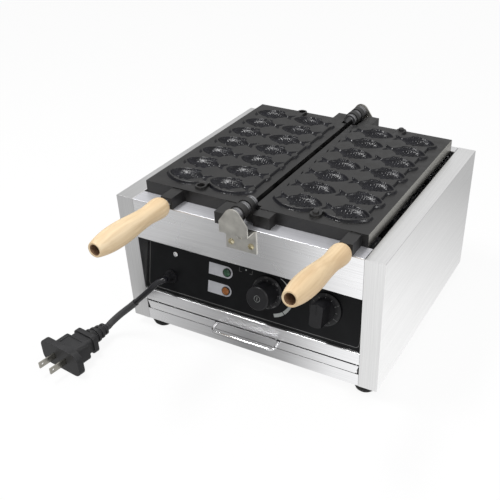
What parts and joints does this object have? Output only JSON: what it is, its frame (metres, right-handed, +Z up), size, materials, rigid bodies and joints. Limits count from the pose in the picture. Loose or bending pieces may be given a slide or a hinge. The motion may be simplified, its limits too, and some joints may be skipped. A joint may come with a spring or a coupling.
{
  "type": "fish waffle maker",
  "caption": "Countertop fish-waffle maker: open steel casing, two fold-over cast moulds with fish cavities on one hinge line, wooden grips, tilted control panel, drip tray",
  "frame": {"origin": "centre of the footprint at table height", "axes": "+X to the right seen from the controls, -Y towards the user, +Z up"},
  "size_m": [0.4958, 0.5976, 0.2721],
  "materials": {
    "brushed_steel": "stainless sheet, brushed along its length",
    "bright_steel": "polished steel",
    "black_panel": "black painted steel with a fine printed border",
    "label_foil": "silver foil plate, bare",
    "black_plastic": "black moulded plastic",
    "green_lens": "translucent green lens",
    "orange_lens": "translucent orange lens",
    "dark_steel": "heat-darkened steel",
    "ceramic_white": "white ceramic",
    "nickel_plate": "dull nickel plate",
    "screw_brass": "yellow passivated steel",
    "coated_casting": "cast metal with a dark non-stick coating, satin",
    "pale_wood": "pale turned wood, sanded",
    "black_rubber": "black rubber",
    "cord_black": "black cord sheath",
    "plug_plastic": "dark grey moulded plug",
    "blade_brass": "plated blades"
  },
  "bodies": {
    "casing": {"side_casing_left": "brushed_steel", "side_casing_right": "brushed_steel", "front_cover": "brushed_steel", "rear_cover": "brushed_steel", "rear_screws": "bright_steel", "base_pan": "brushed_steel", "front_strip": "brushed_steel", "control_panel": "black_panel", "panel_screw": "bright_steel", "label_plates": "label_foil", "lamp_housings": "black_plastic", "green_lens": "green_lens", "orange_lens": "orange_lens", "thermostat_body": "dark_steel", "timer_body": "dark_steel", "heat_shield": "dark_steel", "element_rails": "dark_steel", "heating_element_left": "dark_steel", "heating_element_right": "dark_steel", "terminal_block": "ceramic_white", "tray_runners": "dark_steel", "hinge_brackets": "nickel_plate", "bracket_screws": "screw_brass", "hinge_pins": "bright_steel", "hinge_collars": "bright_steel", "feet": "black_rubber", "foot_screws": "bright_steel", "cable_gland": "black_plastic", "power_cord": "cord_black", "plug_body": "plug_plastic", "plug_blades": "blade_brass"},
    "left_mould_body": {"mould_left": "coated_casting", "handle_rod_left": "dark_steel", "handle_nuts_left": "bright_steel", "grip_left": "pale_wood"},
    "right_mould_body": {"mould_right": "coated_casting", "handle_rod_right": "dark_steel", "handle_nuts_right": "bright_steel", "grip_right": "pale_wood"},
    "tray_body": {"drip_tray": "brushed_steel", "tray_pull": "bright_steel"},
    "thermostat_knob_body": {"thermostat_knob": "black_plastic"},
    "timer_knob_body": {"timer_knob": "black_plastic"}
  },
  "joints": [
    {"name": "left_mould_fold", "type": "hinge", "parent": "casing", "child": "left_mould_body", "pos_m": [0, 0, 0.2566], "axis": [0, 1, 0], "range_deg": [0, 180]},
    {"name": "right_mould_fold", "type": "hinge", "parent": "casing", "child": "right_mould_body", "pos_m": [0, 0, 0.2566], "axis": [0, -1, 0], "range_deg": [0, 180]},
    {"name": "tray_slide", "type": "slide", "parent": "casing", "child": "tray_body", "axis": [0, -1, 0], "range_m": [0, 0.3]},
    {"name": "thermostat_turn", "type": "hinge", "parent": "casing", "child": "thermostat_knob_body", "pos_m": [0.03005, -0.11286, 0.12411], "axis": [0, 0.9746, -0.2241], "range_deg": [0, 300]},
    {"name": "timer_turn", "type": "hinge", "parent": "casing", "child": "timer_knob_body", "pos_m": [0.12391, -0.11286, 0.12411], "axis": [0, 0.9746, -0.2241], "range_deg": [0, 300]}
  ]
}
